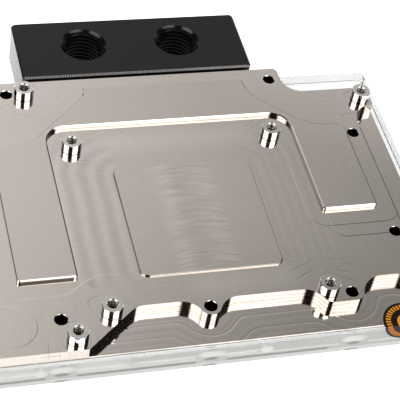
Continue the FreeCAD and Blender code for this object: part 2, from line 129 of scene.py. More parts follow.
class Recipe:
    """A node graph written as formulas. Every method adds a node and returns its output."""

    def __init__(self, tree):
        self.tree = tree

    def node(self, kind, **settings):
        """Adds a shader node of a kind, with its settings."""
        made = self.tree.nodes.new("ShaderNode" + kind)
        for name, value in settings.items():
            setattr(made, name, value)
        return made

    def feed(self, socket, value):
        """Links an output, or sets a plain value. A colour of three parts gets its fourth."""
        if isinstance(value, bpy.types.NodeSocket):
            self.tree.links.new(value, socket)
        elif socket.type == "RGBA":
            socket.default_value = (*value, 1.0)
        else:
            socket.default_value = value

    def filled(self, kind, values, **settings):
        """Outputs of a node whose inputs are given in order."""
        made = self.node(kind, **settings)
        for socket, value in zip(made.inputs, values):
            self.feed(socket, value)
        return made.outputs

    def math(self, operation, *values):
        """One Math node."""
        return self.filled("Math", values, operation=operation)[0]

    def chain(self, operation, values):
        """Joins values by one operation, from left to right."""
        total = values[0]
        for value in values[1:]:
            total = self.math(operation, total, value)
        return total

    def add(self, *values):
        return self.chain("ADD", values)

    def times(self, *values):
        return self.chain("MULTIPLY", values)

    def most(self, *values):
        """The largest of some values."""
        return self.chain("MAXIMUM", values)

    def least(self, *values):
        """The smallest of some values."""
        return self.chain("MINIMUM", values)

    def minus(self, a, b):
        return self.math("SUBTRACT", a, b)

    def rest(self, mask):
        """What a mask leaves out: 1 where it is 0."""
        return self.minus(1.0, mask)

    def away(self, value, middle=0.0):
        """How far a value lies from a middle, without its sign."""
        return self.math("ABSOLUTE", self.minus(value, middle))

    def wave(self, value, length, kind="SINE"):
        """A sine or cosine that repeats after a length."""
        return self.math(kind, self.times(value, 2 * math.pi / length))

    def vector(self, operation, *values):
        """One Vector Math node. Lengths and products of two vectors come out as numbers."""
        outputs = self.filled("VectorMath", values, operation=operation)
        return outputs[1 if operation in ("LENGTH", "DOT_PRODUCT", "DISTANCE") else 0]

    def here(self):
        """Object coordinates in millimetres: the place, then its X, Y and Z."""
        place = self.node("TexCoord").outputs["Object"]
        place = self.vector("MULTIPLY", place, (1 / MM, 1 / MM, 1 / MM))
        return place, *self.parts(place)

    def bell(self, value, middle, width):
        """Smooth hump of height 1, by exp(-((value - middle) / width)^2)."""
        off = self.math("DIVIDE", self.minus(value, middle), width)
        return self.math("EXPONENT", self.times(off, off, -1.0))

    def parts(self, vector):
        """The three parts of a vector."""
        return self.filled("SeparateXYZ", (vector,))

    def join(self, x, y, z):
        """A vector of three parts."""
        return self.filled("CombineXYZ", (x, y, z))[0]

    def step(self, value, low, high, at_low=0.0, at_high=1.0):
        """Goes smoothly from one level to another while the value goes from low to high."""
        levels = (value, low, high, at_low, at_high)
        return self.filled("MapRange", levels, interpolation_type="SMOOTHSTEP")[0]

    def fall(self, value, low, high, level=1.0):
        """Goes smoothly from a level down to 0 while the value goes from low to high."""
        return self.step(value, low, high, level, 0.0)

    def window(self, value, start, full, fade, end, level=1.0):
        """Rises to a level from start to full, and falls back to 0 from fade to end."""
        return self.times(self.step(value, start, full), self.fall(value, fade, end, level))

    def noise(self, place, scale=1.0, detail=2.0, roughness=0.5):
        """Soft noise from 0 to 1, with so many humps to the millimetre."""
        made = self.node("TexNoise")
        values = {"Vector": place, "Scale": scale, "Detail": detail, "Roughness": roughness}
        for name, value in values.items():
            self.feed(made.inputs[name], value)
        return made.outputs[0]

    def mix(self, share, a, b):
        """Colour a where the share is 0, colour b where it is 1."""
        made = self.node("Mix", data_type="RGBA")
        for number, value in ((0, share), (6, a), (7, b)):
            self.feed(made.inputs[number], value)
        return made.outputs[2]

    def bump(self, height_mm):
        """Normal of a surface with this height in millimetres."""
        made = self.node("Bump")
        made.inputs["Distance"].default_value = MM
        self.feed(made.inputs["Height"], height_mm)
        return made.outputs[0]


class Finish(Recipe):
    """A material with one Principled surface, and the recipe that feeds it."""

    def __init__(self, name):
        self.material = bpy.data.materials.new(name)
        self.material.use_nodes = True
        super().__init__(self.material.node_tree)
        self.surface = self.tree.nodes["Principled BSDF"]

    def set(self, **values):
        """Sets or links sockets of the surface, by names with underscores for spaces."""
        for name, value in values.items():
            self.feed(self.surface.inputs[name.replace("_", " ")], value)


print("recipe helper ready")

# %% [markdown]
# ## The studio
# Polished nickel has hardly any colour of its own: it shows what stands round it. The
# round posts of the plate are small mirrors that show the whole room at once, and they
# tell what it was: a soft light at the left, a second one at the front on the right, a
# dark gap between them, a grey wall at the back that falls off to the right, and darkness
# at the right. Area lights and cards could stand round the block, but they would get in
# the way of other views, so the world itself holds the studio: a brightness for each
# direction, made of a few smooth steps. The feet of the soft lights are dimmer, or else
# the plate would mirror them as plain white in views from the back and the sides.

# %% Studio light
WHITE = (1.0, 1.0, 1.0)
SOFT_LIGHTS = {
    "left": (math.radians(200), math.radians(27)),
    "front": (math.radians(307), math.radians(28)),
}
SOFT_LIGHT_STRENGTH = 3.2
SOFT_LIGHT_EDGE = math.radians(7)
SOFT_LIGHT_FOOT = (0.14, 0.22)
SOFT_LIGHT_HEAD = (0.85, 0.93)
DIM_FOOT = (0.46, 0.62, 0.78)

BACK_WALL_LEVEL = 0.72
BACK_WALL_DEPTH = (-0.05, 0.40)
BACK_WALL_LEFT = (-0.75, -0.05)
BACK_WALL_RIGHT = (0.0, 0.70)
BACK_WALL_HIGH = 0.72
BACK_WALL_LEAN = (0.42, 4.4)
BACK_WALL_LOW = (0.66, 0.705)
BACK_WALL_LOW_LEVEL = 0.69

CEILING = (0.84, 0.98, 0.0, 0.42)
HORIZON = (0.0, 0.22, 0.6, 0.012)


def soft_light(r, towards, azimuth, half_width):
    """Brightness of a light that covers these angles round the upright axis, 0 outside. The
    angle is measured by the dot product with the light's own direction in plan. The foot of
    the light is dimmer, as that of a tilted soft box is."""
    x, y, z = r.parts(towards)
    plan = r.vector("NORMALIZE", r.join(x, y, 0.0))
    facing = r.vector("DOT_PRODUCT", plan, Vector((math.cos(azimuth), math.sin(azimuth), 0.0)))
    across = r.step(facing, math.cos(half_width + SOFT_LIGHT_EDGE), math.cos(half_width - SOFT_LIGHT_EDGE))
    head = r.fall(z, *SOFT_LIGHT_HEAD, SOFT_LIGHT_STRENGTH)
    foot = r.step(z, *DIM_FOOT, SOFT_LIGHT_STRENGTH)
    return r.times(across, r.step(z, *SOFT_LIGHT_FOOT), r.least(head, foot))


def back_wall(r, towards):
    """Grey behind the block: it rises from the left and falls off to the right. Higher up the
    fall leans inwards, and low down it stops at an even grey."""
    x, y, z = r.parts(towards)
    slant = r.add(BACK_WALL_LEAN[0], r.times(x, BACK_WALL_LEAN[1]))
    lean = r.times(r.most(r.minus(z, BACK_WALL_HIGH), 0.0), slant)
    right = r.fall(r.add(x, lean), *BACK_WALL_RIGHT)
    low = r.fall(z, *BACK_WALL_LOW, BACK_WALL_LOW_LEVEL)
    left = r.step(x, *BACK_WALL_LEFT)
    return r.times(left, r.most(right, low), r.step(y, *BACK_WALL_DEPTH), BACK_WALL_LEVEL)


def make_studio():
    """World: two soft lights, the back wall, a grey ceiling and a pale horizon, all added up.
    Rays from the camera and through the clear cover see plain white instead."""
    world = bpy.data.worlds.new("studio")
    world.use_nodes = True
    scene.world = world
    r = Recipe(world.node_tree)
    r.tree.nodes.clear()
    towards = r.node("TexCoord").outputs["Generated"]
    height = r.parts(towards)[2]
    level = back_wall(r, towards)
    for azimuth, half_width in SOFT_LIGHTS.values():
        level = r.add(level, soft_light(r, towards, azimuth, half_width))
    level = r.add(level, r.step(height, *CEILING), r.step(height, *HORIZON))
    rays = r.node("LightPath").outputs
    choice = r.node("MixShader")
    r.feed(choice.inputs[0], r.most(rays["Is Camera Ray"], rays["Is Transmission Ray"]))
    for socket, strength in zip(choice.inputs[1:], (level, 1.0)):
        light = r.node("Background")
        r.feed(light.inputs["Color"], WHITE)
        r.feed(light.inputs["Strength"], strength)
        r.feed(socket, light.outputs[0])
    r.feed(r.node("OutputWorld").inputs["Surface"], choice.outputs[0])


make_studio()
print("studio: soft lights", list(SOFT_LIGHTS), "at strength", SOFT_LIGHT_STRENGTH)

# %% [markdown]
# ## The floor
# A white floor lies a hair below the block. Its own colour is white paper, and for rays
# from the camera, from gloss and through the clear cover it gets enough light of its own
# to read as white. It still takes the block's shadow.

# %% Floor
FLOOR_GAP_MM = 0.15
FLOOR_HALF_MM = 3000.0
FLOOR_PAPER = (0.86, 0.86, 0.86)
FLOOR_GLOW = 1.0


def make_floor():
    """Square sheet below the block, marked as stage."""
    half = FLOOR_HALF_MM * MM
    low = cad_box[0].z - FLOOR_GAP_MM * MM
    mesh = bpy.data.meshes.new("floor")
    mesh.from_pydata([(-half, -half, low), (half, -half, low), (half, half, low), (-half, half, low)],
                     [], [(0, 1, 2, 3)])
    floor = placed("floor", mesh)
    paper = Finish("floor_paper")
    rays = paper.node("LightPath").outputs
    seen = paper.most(rays["Is Camera Ray"], rays["Is Glossy Ray"], rays["Is Transmission Ray"])
    paper.set(Base_Color=FLOOR_PAPER, Roughness=0.9, Specular_IOR_Level=0.0,
              Emission_Color=WHITE, Emission_Strength=paper.times(seen, FLOOR_GLOW))
    mesh.materials.append(paper.material)


make_floor()
print("floor", FLOOR_GAP_MM, "mm below the block")

# %% [markdown]
# ## Nickel on milled copper
# The plate is milled from copper and then plated with nickel: a warm, light metal that
# keeps every mark of the cutter. A picture of such marks would blur up close and follow no
# edge. So each mark is a formula of the place in millimetres, tied to the sizes of the
# solids. This cell collects those sizes, with the colours of the metal.

# %% Places of the plate
STANDOFF_NAMES = [f"standoff_{number}" for number in range(1, 10)]
SCREW_NAMES = [f"cover_screw_{number:02d}" for number in range(1, 12)]
STANDOFF_RISE_MM = 3.0
SHELF_THICK_MM = 0.9
SCREW_HOLE_MM = 1.65


def middle_mm(node):
    """Middle of a solid's box, in millimetres."""
    low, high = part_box(node)
    return (low + high) / 2 / MM


standoff_places = [middle_mm(name) for name in STANDOFF_NAMES]
screw_places = [middle_mm(name) for name in SCREW_NAMES]
boss_places = screw_places[5:8]
plate_low, plate_high = (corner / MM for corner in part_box("base_plate"))
DECK_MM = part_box("standoff_1")[1].z / MM - STANDOFF_RISE_MM
SHELF_MM = plate_low.z + SHELF_THICK_MM
print("deck at", round(DECK_MM, 2), "mm, pads at", round(plate_high.z, 2), "mm")

# Colours of the metal: darkest, lightest, the black of its painted shade and dark marks, and its wet side
NICKEL_LOW = (0.708, 0.643, 0.588)
NICKEL_HIGH = (0.940, 0.860, 0.787)
NICKEL_SHADE = (0.016, 0.012, 0.010)
WET_NICKEL = (0.98, 0.965, 0.945)
# Colour of the painted shade line along the seal, on the wet side
WET_SEAL_SHADE = (0.12, 0.13, 0.14)
WET_ROUGHNESS = 0.7
SEAL_SHADE_MM = -25.0

# The chip pad: left, right, front, back, corner radius
ISLAND = (-19.5, 19.9, -19.4, 20.0, 2.5)

# Right sides of the two legs, each from its front to its back end, and the side shelf's edge
LEG_SIDE_LEFT = -35.8
LEG_SPAN_LEFT = (-17.8, 30.0)
LEG_SIDE_RIGHT = 52.1
LEG_SPAN_RIGHT = (-1.9, 27.0)
SIDE_SHELF_MM = 57.5
SIDE_SHELF_SPAN = (-12.0, 30.0)

# The right leg lies right of this band. Left of the other, the front wall has its full height
RIGHT_LEG_FROM = (30.0, 32.0)
FULL_FRONT_UP_TO = (-37.0, -36.5)

# Outlines of the cutter's passes on the deck, given as the chip pad is
PASSES = [
    (31.4, 58.5, -7.3, 90.0, 5.5),
    (37.0, 58.5, -11.6, 90.0, 4.0),
    (-90.0, -48.5, -37.5, -24.5, 6.4),
]
LONG_PASS = (-56.5, 60.0, -22.8, 90.0, 6.0)
ROUND_POSTS = (-28.0, -29.0, 11.8)
PASS_WIDTH_MM = 0.22
SHELF_PASSES_MM = (4.6, 8.8)

# Straight parts of the arch's stepped right end: direction outwards and distance from the origin
ARCH_STEPS = [
    (0.100, 0.995, 35.63),
    (0.509, 0.861, 49.06),
    (0.703, 0.711, 51.45),
    (0.857, 0.514, 47.40),
    (0.994, 0.108, 31.86),
]

# %% [markdown]
# ## What the cutter left
# The marks are of five kinds. Arcs of a wide face mill lie on the chip pad. Soft bands run
# round it, one for each time the cutter went round. The outline of each pass shows as a
# small step, the floor is covered with fine arcs, and thin lines lie round the posts. Each
# is a function of distances, because a cutter keeps its distance from what it leaves.

# %% Distances
FAR_MM = 1000.0
BOSS_MM = 2.8


def box_distance(f, x, y, left, right, front, back, radius):
    """Distance from a rectangle with round corners: how far the point lies past its sides,
    each counted from the rounded core, less the corner radius. Negative inside."""
    over_x = f.minus(f.away(x, (left + right) / 2), (right - left) / 2 - radius)
    over_y = f.minus(f.away(y, (front + back) / 2), (back - front) / 2 - radius)
    outside = f.vector("LENGTH", f.join(f.most(over_x, 0.0), f.most(over_y, 0.0), 0.0))
    inside = f.least(f.most(over_x, over_y), 0.0)
    return f.minus(f.add(outside, inside), radius)


def nearest_of(f, flat, places):
    """Distance in plan to the nearest of some places."""
    nearest = FAR_MM
    for spot in places:
        nearest = f.least(nearest, f.vector("DISTANCE", flat, Vector((spot.x, spot.y, 0.0))))
    return nearest


def shelf_distance(f, x, y, flat):
    """How far a point of the shelf lies from its wall: the smaller of the distances to the
    straight wall and to the bosses round the screws, blended where they meet."""
    straight = f.minus(f.step(x, 39.0, 44.0, -28.3, -26.1), y)
    boss = f.minus(nearest_of(f, flat, boss_places), BOSS_MM)
    return f.math("SMOOTH_MIN", straight, boss, 4.0)


print("distances: from", len(PASSES) + 1, "passes,", len(boss_places), "bosses and the chip pad")

# %% Cutter marks
MILL_RADIUS_MM = 28.0
MILL_MIDDLE_MM = -1.0
BAND_START_LEFT = 1.2
BAND_PITCH_LEFT = 4.75
BAND_START_RIGHT = 12.5
BAND_PITCH_RIGHT = 3.1
SCALLOP_HALF_MM = 2.35
RING_HALF_MM = 1.3


def cusp(f, distance, half_width, height):
    """The small step that is left between two passes of a cutter."""
    return f.step(distance, -half_width, half_width, 0.0, height)


def long_pass(f, x, y, flat):
    """A pass that runs along the front of the left leg and swings round two posts: a rectangle
    less a circle, with the larger of both distances blended where they meet."""
    middle_x, middle_y, radius = ROUND_POSTS
    clear = f.minus(radius, f.vector("DISTANCE", flat, Vector((middle_x, middle_y, 0.0))))
    distance = f.math("SMOOTH_MAX", box_distance(f, x, y, *LONG_PASS), clear, 5.0)
    return f.times(cusp(f, distance, PASS_WIDTH_MM, 1.0), f.fall(x, -24.0, -18.0))


def all_passes(f, x, y, flat):
    """Steps along the outlines of all passes, which fade out behind the chip pad."""
    passes = long_pass(f, x, y, flat)
    for outline in PASSES:
        passes = f.add(passes, cusp(f, box_distance(f, x, y, *outline), PASS_WIDTH_MM, -1.0))
    return f.times(passes, f.fall(y, 10.0, 26.0))


def island_marks(f, x, y):
    """Arcs of a wide mill: circles of one radius whose middles follow a line along Y, so the
    pattern is noise of y - sqrt(R^2 - (x - x0)^2). A slower noise joins them to bands."""
    over = f.minus(x, MILL_MIDDLE_MM)
    sag = f.math("SQRT", f.most(f.minus(MILL_RADIUS_MM ** 2, f.times(over, over)), 1.0))
    along = f.minus(y, sag)
    fine = f.noise(f.join(f.times(along, 2.1), f.times(x, 0.10), 0.0))
    coarse = f.noise(f.join(f.times(along, 0.6), f.times(x, 0.11), 4.0), detail=1.0)
    return f.add(f.times(fine, 0.75), f.times(coarse, 0.25))


def channel_bands(f, x, y, island):
    """Soft bands at even distances from the island, one for each time the cutter went round
    it: cosines of that distance, wider apart on the left. Slow noise lets them fade and sway."""
    sway = f.times(f.noise(f.join(f.times(x, 0.03), f.times(y, 0.05), 0.0), detail=1.0), 1.2)
    distance = f.minus(f.add(island, sway), 0.6)
    left = f.wave(f.minus(distance, BAND_START_LEFT), BAND_PITCH_LEFT, "COSINE")
    right = f.wave(f.minus(distance, BAND_START_RIGHT), BAND_PITCH_RIGHT, "COSINE")
    left = f.times(left, f.window(x, -37.0, -35.5, -19.0, -17.0))
    right = f.times(right, f.window(x, 18.0, 20.5, 35.0, 37.0, 0.30))
    return f.times(f.add(left, right), f.window(y, -24.0, -15.0, 24.0, 34.0))


def scallops(f, x, y):
    """Fine arcs that a turning cutter leaves while it moves along Y: noise of y - t^2 / 2R,
    where t is the place across a pass, counted from its middle and starting anew at the next."""
    across = f.math("WRAP", x, SCALLOP_HALF_MM, -SCALLOP_HALF_MM)
    along = f.minus(y, f.times(across, across, 0.16))
    return f.noise(f.join(f.times(along, 1.9), f.times(x, 0.25), 0.0), detail=1.0)


def thin_paths(f, flat, nearest):
    """Thin lines round the posts where the cutter turned: they lie at even distances from the
    nearest post, bent by noise, and show in patches only."""
    bent = f.times(f.noise(flat, 0.08, detail=1.0), 16.0)
    ring = f.math("WRAP", f.add(nearest, bent), RING_HALF_MM, -RING_HALF_MM)
    patchy = f.step(f.noise(flat, 0.16, detail=1.0), 0.46, 0.60)
    return f.times(f.bell(ring, 0.0, 0.16), patchy, f.fall(nearest, 5.0, 18.0))


print("marks: bands every", BAND_PITCH_LEFT, "and", BAND_PITCH_RIGHT, "mm, arcs of", MILL_RADIUS_MM, "mm")

# %% [markdown]
# ## Which mark lies where
# A mark belongs to one part of the plate: the chip pad, the floor round it, the shelf or the
# walls. A mask is 1 on its part and 0 elsewhere. The sharp edges of the pads show as thin
# dark lines, because they mirror the dark side of the room, so these lines are painted in as shade.

# %% Masks and edge lines


def plate_parts(f):
    """Place and masks of a point on the plate. A wall is where the normal hardly points up or
    down, and an edge is where it leans by about 45 degrees."""
    p = SimpleNamespace()
    p.place, p.x, p.y, p.z = f.here()
    p.flat = f.join(p.x, p.y, 0.0)
    p.normal = f.parts(f.node("NewGeometry").outputs["True Normal"])
    upward = f.away(p.normal[2])
    p.wall = f.fall(upward, 0.2, 0.5)
    p.edge = f.window(upward, 0.6, 0.65, 0.8, 0.85)
    p.nearest = nearest_of(f, p.flat, standoff_places)
    p.island = box_distance(f, p.x, p.y, *ISLAND)
    p.on_island = f.fall(p.island, -0.3, 0.0)
    p.on_pad = f.step(p.z, DECK_MM + 0.7, DECK_MM + 1.0)
    on_shelf = f.fall(p.z, SHELF_MM + 0.2, SHELF_MM + 0.5)
    p.on_front_shelf = f.times(on_shelf, f.fall(p.y, -27.0, -24.0))
    p.on_floor = f.times(f.rest(p.on_pad), f.rest(on_shelf), f.rest(p.on_island))
    p.behind_front = f.step(p.y, plate_low.y + 0.02, plate_low.y + 0.06)
    p.at_full_front = f.fall(p.x, *FULL_FRONT_UP_TO)
    return p


def side_line(f, p, line_x, half_width, span):
    """A line along Y at one X, from the front end to the back end of a span."""
    front, back = span
    along = f.window(p.y, front + 0.2, front + 0.6, back - 0.6, back - 0.2)
    return f.times(f.bell(p.x, line_x, half_width), along)


def arch_edge(f, p):
    """Painted shade line just inside the arch's stepped right end. The depth behind each straight part
    is its distance less the place along its direction, and the largest of these depths counts."""
    depth = -FAR_MM
    for out_x, out_y, reach in ARCH_STEPS:
        along = f.add(f.times(p.x, out_x), f.times(p.y, out_y))
        depth = f.math("SMOOTH_MAX", depth, f.minus(reach, along), 0.5)
    corner = f.times(f.step(p.x, 25.0, 26.0), f.step(p.y, 30.0, 30.3))
    return f.times(f.bell(depth, 0.2, 0.22), corner)


def wet_tint(f, y):
    """Colour of the wet side, seen through the cover: pale nickel with a painted shade line along the seal.
    """
    return f.mix(f.bell(y, SEAL_SHADE_MM, 0.5), WET_NICKEL, WET_SEAL_SHADE)


print("masks: shelf at", round(SHELF_MM, 2), "mm, chip pad", ISLAND[1] - ISLAND[0], "mm wide")

# %% [markdown]
# ## Height, tone, painted shade and dark marks
# Each mark speaks in three ways. As a height in thousandths of a millimetre it bends the
# mirror image of the studio. As a tone it makes the metal a little lighter or darker, since
# fine scratches scatter light, and the tone also carries painted sheen. The dark sum is
# mostly painted shade: on edges that mirror the dark side of the room, on walls that face
# the front, at the feet of walls and in hollows and holes. The scored lines on the walls are
# its only dark marks. The three sums below feed one bump, one mix of two nickels and one mix with black.
# In them, p holds the place and the masks of a point, and m its marks.

# %% Nickel plate
# Heights of the marks in millimetres
LINE_RISE = 0.0007
GRAIN_RISE = 0.0006
ARC_RISE = 0.011
BAND_RISE = 0.008
SCALLOP_RISE = 0.006
PASS_RISE = 0.022
PATH_RISE = -0.010
SHELF_RISE = 0.020
TURN_RISE = 0.008


def plate_marks(f, p):
    """All patterns of the plate, each worked out once."""
    m = SimpleNamespace()
    m.grain = f.noise(p.place, 2.4, detail=3.0, roughness=0.7)
    m.straight = f.noise(f.vector("MULTIPLY", p.place, (1.1, 0.035, 0.5)), detail=2.5)
    m.arcs = island_marks(f, p.x, p.y)
    m.bands = channel_bands(f, p.x, p.y, p.island)
    m.fine_arcs = scallops(f, p.x, p.y)
    m.paths = thin_paths(f, p.flat, p.nearest)
    m.passes = all_passes(f, p.x, p.y, p.flat)
    m.from_wall = shelf_distance(f, p.x, p.y, p.flat)
    m.rows = f.noise(f.join(f.times(m.from_wall, 0.75), f.times(p.x, 0.02), 0.0))
    m.turns = f.noise(f.vector("MULTIPLY", p.place, (0.05, 0.05, 1.7)))
    m.near_middle = f.step(f.away(p.x), 7.0, 11.0, 1.0, 0.25)
    return m


def plate_height(f, p, m):
    """Height in millimetres: lines and grain everywhere, arcs on the chip pad, bands, passes
    and paths on the floor, rows along the shelf's wall, and level turns on the walls. The
    right leg's left edge rises along Y, which turns it to the light."""
    on_chip = f.times(m.arcs, p.on_island, m.near_middle, ARC_RISE)
    floor = f.add(f.times(m.bands, BAND_RISE), f.times(m.fine_arcs, SCALLOP_RISE),
                  f.times(m.passes, PASS_RISE), f.times(m.paths, PATH_RISE))
    shelf = f.add(cusp(f, f.minus(m.from_wall, SHELF_PASSES_MM[0]), PASS_WIDTH_MM, 1.0),
                  cusp(f, f.minus(m.from_wall, SHELF_PASSES_MM[1]), 0.25, 0.7), f.times(m.rows, 0.9))
    level = f.add(f.times(m.straight, LINE_RISE), f.times(m.grain, GRAIN_RISE), on_chip,
                  f.times(floor, p.on_floor), f.times(shelf, p.on_front_shelf, SHELF_RISE))
    left_edge = f.times(p.edge, f.fall(p.normal[0], -0.6, -0.3, 0.5))
    glint = f.times(left_edge, f.step(p.x, *RIGHT_LEG_FROM), p.y)
    return f.add(f.times(level, f.rest(p.wall)), f.times(m.turns, p.wall, TURN_RISE), glint)


def plate_tone(f, p, m):
    """Tone from 0, dark nickel, to 1, light nickel. The painted sheen across the chip pad is a sum
    of bells in X, the bands round it also carry painted sheen, and a painted highlight runs
    beside the left leg. The floor is lighter at the back, at the left and round the chip pad."""
    # Painted sheen: light and dark bells across the chip pad
    sheen = f.add(f.times(f.bell(p.x, -6.3, 2.4), 0.34), f.times(f.bell(p.x, 5.2, 3.2), 0.22),
                  f.times(f.bell(p.x, -1.8, 2.6), -0.10))
    dashes = f.times(f.minus(m.arcs, 0.5), m.near_middle, 2.8)
    behind_island = f.times(f.bell(p.y, 30.0, 4.0), f.fall(f.away(p.x), 16.0, 28.0, 0.40))
    before_island = f.times(f.bell(p.y, -24.0, 4.5), f.fall(f.away(p.x, 8.0), 10.0, 18.0, 0.45))
    # The bands' tone is painted sheen. The arcs and paths give the marks' own tone
    floor = f.add(f.times(m.bands, 0.26), f.times(f.minus(m.fine_arcs, 0.5), 0.38), f.times(m.paths, -0.55),
                  f.step(p.y, 40.0, 54.0, 0.0, 0.22), f.fall(p.x, -58.0, -10.0, 0.16),
                  behind_island, before_island)
    shelf_line = f.add(f.bell(m.from_wall, SHELF_PASSES_MM[0] - 0.3, 0.3),
                       f.times(f.bell(m.from_wall, SHELF_PASSES_MM[1] - 0.3, 0.3), 0.6))
    shelf = f.add(f.times(f.minus(m.rows, 0.5), 1.1), f.times(shelf_line, -0.6))
    # Painted highlight: a light line just right of the left leg's side
    painted_side_highlight = side_line(f, p, LEG_SIDE_LEFT + 0.3, 0.2, LEG_SPAN_LEFT)
    tone = f.add(0.42, f.times(f.add(sheen, dashes), p.on_island), f.times(f.minus(m.straight, 0.5), 0.14),
                 f.times(f.minus(m.grain, 0.5), 0.34), f.times(floor, p.on_floor),
                 f.times(shelf, p.on_front_shelf), f.times(painted_side_highlight, 0.7))
    return f.least(f.most(tone, 0.0), 1.0)


def painted_edge_shade(f, p):
    """Painted shade: darkness of the bevelled edges by the way they face, of the hollow under the
    right leg's left edge, and of thin lines along the pads' sides and the side shelf."""
    # Painted shade on edges that face back, right or left, where they mirror the dark side of the room
    back = f.times(p.edge, f.step(p.normal[1], 0.3, 0.6, 0.0, 0.80))
    right = f.times(p.edge, f.step(p.normal[0], 0.3, 0.6, 0.0, 0.97))
    left = f.times(p.edge, f.fall(p.normal[0], -0.6, -0.3), f.step(p.x, *RIGHT_LEG_FROM, 0.25, 0.35))
    under = f.times(p.wall, f.fall(p.normal[0], -0.9, -0.8, 0.85), f.step(p.x, *RIGHT_LEG_FROM),
                    f.step(p.z, DECK_MM + 0.62, DECK_MM + 0.72), f.fall(p.y, 36.5, 38.0))
    lines = f.add(f.times(side_line(f, p, LEG_SIDE_LEFT - 0.2, 0.22, LEG_SPAN_LEFT), 0.95),
                  f.times(side_line(f, p, LEG_SIDE_RIGHT - 0.2, 0.20, LEG_SPAN_RIGHT), 0.85),
                  f.times(side_line(f, p, SIDE_SHELF_MM - 0.15, 0.16, SIDE_SHELF_SPAN), 0.7),
                  f.times(arch_edge(f, p), p.on_pad, 0.6))
    return f.most(back, right, left, under, lines)


def wall_shade_and_scores(f, p, m):
    """Darkness of the walls: scored level lines, and painted shade at their feet, on all that face
    the front, on the plate's front wall left of the left leg, on the left leg's front end and in
    the bores of the screw holes."""
    scored = f.times(p.wall, f.fall(m.turns, 0.36, 0.46, 0.55))
    # Painted shade in the corner at the foot of each wall
    foot = f.least(f.away(p.z, DECK_MM), f.away(p.z, SHELF_MM))
    foot_shade = f.times(p.wall, p.behind_front, f.fall(foot, 0.06, 0.20, 0.80))
    front_facing_shade = f.times(p.wall, p.behind_front, f.fall(p.normal[1], -0.5, -0.2, 0.30),
                           f.step(p.island, 0.2, 0.4))
    front_wall_shade = f.times(f.rest(p.behind_front), p.at_full_front, 0.32)
    leg_front = f.fall(f.away(p.y, LEG_SPAN_LEFT[0]), 0.05, 0.15)
    shaded_leg_end = f.times(p.at_full_front, leg_front, p.wall,
                        f.step(p.z, DECK_MM + 0.70, DECK_MM + 0.85, 0.97, 0.15))
    # Painted shade inside the screw holes, below the deck
    from_screw = nearest_of(f, p.flat, screw_places)
    hole_shade = f.times(f.fall(from_screw, SCREW_HOLE_MM + 0.03, SCREW_HOLE_MM + 0.08),
                      f.fall(p.z, DECK_MM - 0.12, DECK_MM - 0.06))
    return f.most(scored, foot_shade, front_facing_shade, front_wall_shade, shaded_leg_end, hole_shade)


def nickel_plate():
    """Polished nickel with all its marks, and rough nickel on the wet side, under the cover."""
    f = Finish("nickel_plate")
    p = plate_parts(f)
    m = plate_marks(f, p)
    # Painted shade of the edges, walls and holes, with the scored lines, mixed towards black
    dark = f.most(painted_edge_shade(f, p), wall_shade_and_scores(f, p, m))
    dry = f.mix(dark, f.mix(plate_tone(f, p, m), NICKEL_LOW, NICKEL_HIGH), NICKEL_SHADE)
    wet_side = f.fall(p.z, plate_low.z + 0.02, plate_low.z + 0.06)
    polished = f.step(f.noise(p.place, 0.7, detail=3.0), 0.3, 0.7, 0.075, 0.115)
    f.set(Base_Color=f.mix(wet_side, dry, wet_tint(f, p.y)), Metallic=1.0,
          Roughness=f.most(polished, f.times(wet_side, WET_ROUGHNESS)),
          Normal=f.bump(plate_height(f, p, m)))
    return f.material


finishes = {"nickel_plate": nickel_plate()}
print("nickel: cutter marks round", len(standoff_places), "standoffs")

# %% [markdown]
# ## Turned nickel for the standoffs
# The standoffs are turned on a lathe, so their marks are rings round their own axis on the
# top and fine hoops on the side. Rings need each post's own middle, and one material can
# serve all nine by measuring to the nearest of them.

# %% Standoff nickel
POST_BORE_MM = (1.3, 1.55)
POST_PITCH_MM = 0.6
POST_TINTS = ((0.80, 0.76, 0.715), (0.90, 0.86, 0.81))


def turned_nickel():
    """Nickel with rings by the distance from the post's middle, hoops by the height, a threaded bore
    with painted shade, darker lower down and in streaks, and painted shade at the post's foot."""
    f = Finish("turned_nickel")
    place, x, y, z = f.here()
    flat = f.join(x, y, 0.0)
    nearest = nearest_of(f, flat, standoff_places)
    rings = f.noise(f.join(f.times(nearest, 2.6), 0.0, 0.0))
    hoops = f.noise(f.join(0.0, 0.0, f.times(z, 2.2)))
    in_bore = f.fall(nearest, *POST_BORE_MM)
    thread = f.times(f.wave(z, POST_PITCH_MM), in_bore, 0.07)
    dents = f.noise(place, 0.55, detail=1.0)
    f.set(Normal=f.bump(f.add(f.times(rings, 0.004), f.times(hoops, 0.006), f.times(dents, 0.010), thread)))
    colour = f.mix(f.noise(place, 0.9), *POST_TINTS)
    # Painted shade at the foot of the post, and in its bore, darker lower down and in streaks
    foot_shade = f.fall(f.minus(z, DECK_MM), 0.12, 0.26, 0.93)
    streaks = f.fall(f.noise(flat, 1.3, detail=1.0), 0.40, 0.48, 0.80)
    deep = f.times(in_bore, f.most(streaks, f.fall(z, DECK_MM + 0.2, DECK_MM + 1.2, 0.7)))
    f.set(Base_Color=f.mix(f.most(foot_shade, deep), colour, NICKEL_SHADE), Metallic=1.0, Roughness=0.055)
    return f.material


finishes["turned_nickel"] = turned_nickel()
print("turned nickel ready")

# %% [markdown]
# ## Clear acrylic
# The cover is milled from cast acrylic. Faces left as cast are clear, and milled ones are
# a little frosted. Most of its look is refraction, which the shader does by itself, but two
# things need help. Where the plate lies on the cover, the plastic takes the look of the wet
# nickel. And the light's ways behind the milled front face are too long to follow, so the
# face carries painted light and shade in their place: a haze, the seal as a dark line over a
# pale foot, and soft spots at every screw and pin.

